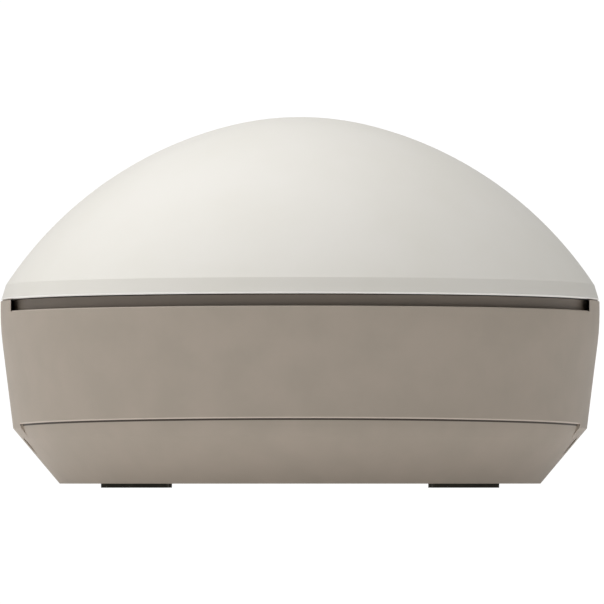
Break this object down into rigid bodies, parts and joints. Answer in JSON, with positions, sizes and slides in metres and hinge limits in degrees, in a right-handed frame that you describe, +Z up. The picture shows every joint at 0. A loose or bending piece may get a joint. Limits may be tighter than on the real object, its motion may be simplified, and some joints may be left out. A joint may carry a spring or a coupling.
{
  "type": "radar dome antenna",
  "caption": "Round marine radome: white dome on a stepped grey base with a groove round its rim, an antenna turning inside on geared bearings, and rubber foot pads below.",
  "frame": {"origin": "centre of the mounting plane, on the antenna's axis, at the underside of the foot pads", "axes": "+Z up along the antenna's axis, -Y the front, +Y towards the cable recess"},
  "size_m": [0.4399, 0.44, 0.2724],
  "materials": {
    "dome_white": "satin",
    "base_grey": "powder coated, satin",
    "rubber_black": "matte",
    "stainless_steel": "satin",
    "brass": "satin",
    "plated_brass": "satin",
    "plastic_black": "matte",
    "plastic_white": "matte",
    "circuit_board": "satin",
    "aluminium": "satin",
    "cable_grey": "matte",
    "bearing_steel": "polished",
    "motor_black": "satin",
    "copper": "satin"
  },
  "bodies": {
    "base": {"base_housing": "base_grey", "bearing_balls": "bearing_steel", "bearing_outer_rings": "bearing_steel", "bearing_pedestal": "aluminium", "board_plugs": "plastic_white", "board_screws": "stainless_steel", "board_standoffs": "brass", "breather_vent": "plastic_black", "chassis_plate": "aluminium", "chassis_screws": "stainless_steel", "coax_lead": "cable_grey", "drive_motor": "motor_black", "earth_nuts": "stainless_steel", "earth_stud": "stainless_steel", "foot_pads": "rubber_black", "home_sensor": "circuit_board", "motor_bushes": "brass", "motor_lead": "cable_grey", "motor_screws": "stainless_steel", "mount_inserts": "stainless_steel", "network_lead": "cable_grey", "network_socket": "plated_brass", "network_socket_insert": "plastic_black", "power_board": "circuit_board", "power_components": "plastic_black", "power_lead": "cable_grey", "power_socket": "plated_brass", "power_socket_insert": "plastic_black", "processor_board": "circuit_board", "processor_chips": "plastic_black", "radome_bolt_seals": "rubber_black", "radome_bolts": "stainless_steel", "radome_gasket": "rubber_black", "radome_inserts": "brass", "rotary_joint_stator": "brass", "sensor_post": "plastic_black", "shield_can": "aluminium", "socket_contacts": "brass", "socket_nuts": "plated_brass", "socket_seals": "rubber_black", "transceiver_board": "circuit_board", "transceiver_box": "aluminium", "transceiver_lid": "aluminium", "transceiver_screws": "stainless_steel", "upper_radome": "dome_white"},
    "antenna": {"antenna_shaft": "aluminium", "bearing_inner_rings": "bearing_steel", "retaining_ring": "bearing_steel", "main_gear": "plastic_white", "gear_screws": "stainless_steel", "home_magnet": "bearing_steel", "rotary_joint_rotor": "brass", "antenna_bracket": "aluminium", "antenna_screws": "stainless_steel", "array_channel": "aluminium", "array_board": "circuit_board", "array_patches": "copper", "array_cover": "plastic_white"},
    "motor_rotor": {"motor_shaft": "bearing_steel", "motor_pinion": "brass"}
  },
  "joints": [
    {"name": "antenna_spin", "type": "hinge", "parent": "base", "child": "antenna", "pos_m": [0, 0, 0.1], "axis": [0, 0, 1], "continuous": true},
    {"name": "motor_spin", "type": "hinge", "parent": "base", "child": "motor_rotor", "pos_m": [0.0676, 0, 0.1], "axis": [0, 0, 1], "continuous": true}
  ],
  "couplings": [
    {"joint": "motor_spin", "follows": "antenna_spin", "ratio": -4}
  ]
}
